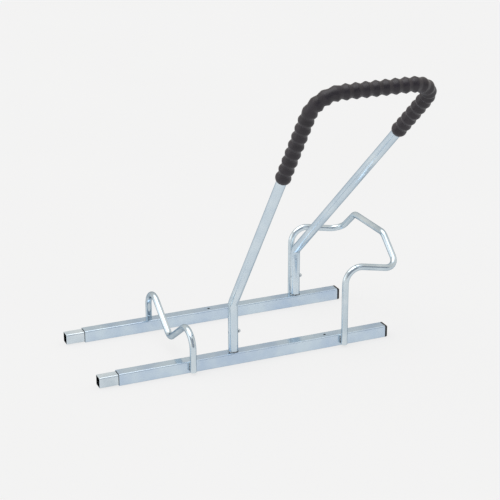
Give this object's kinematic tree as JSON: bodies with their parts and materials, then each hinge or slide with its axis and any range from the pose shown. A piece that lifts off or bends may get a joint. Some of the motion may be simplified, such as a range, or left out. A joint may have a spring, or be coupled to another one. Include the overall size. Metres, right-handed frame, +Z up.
{
  "type": "bike rack",
  "caption": "Floor-standing bike rack module: parallel square rails, bent wheel-holding rods across them, and a tall leaning locking hoop in a ribbed rubber sleeve.",
  "frame": {"origin": "middle of the whole footprint, on the floor", "axes": "+X along the rails from the connectors to the end caps, +Y from the near rail, which the hoop leans out over, to the far rail, +Z up"},
  "size_m": [1.0366, 0.8206, 0.9902],
  "materials": {
    "zinc_steel": "bright zinc plating on mild steel tube, satin, with soft reflections",
    "rod_steel": "bright zinc plating on round tube, shinier than the rails",
    "inner_steel": "zinc plating, satin",
    "weld_metal": "plated weld bead, dull and rippled",
    "bolt_steel": "zinc plated fastener",
    "cap_plastic": "moulded black plastic, satin",
    "sleeve_rubber": "moulded rubber, matt with a faint sheen on the ribs"
  },
  "bodies": {
    "root": {"front_rail": "zinc_steel", "rear_rail": "zinc_steel", "front_connector": "inner_steel", "rear_connector": "inner_steel", "front_end_cap": "cap_plastic", "rear_end_cap": "cap_plastic", "hoop_tube": "zinc_steel", "rubber_sleeve": "sleeve_rubber", "front_hoop_spigot": "inner_steel", "rear_hoop_spigot": "inner_steel", "front_hoop_bolt": "bolt_steel", "rear_hoop_bolt": "bolt_steel", "low_wheel_rod": "rod_steel", "high_wheel_rod": "rod_steel", "front_plug_weld": "weld_metal", "rear_plug_weld": "weld_metal", "front_spigot_weld": "weld_metal", "rear_spigot_weld": "weld_metal", "low_rod_front_weld": "weld_metal", "low_rod_rear_weld": "weld_metal", "high_rod_front_weld": "weld_metal", "high_rod_rear_weld": "weld_metal"}
  },
  "joints": []
}
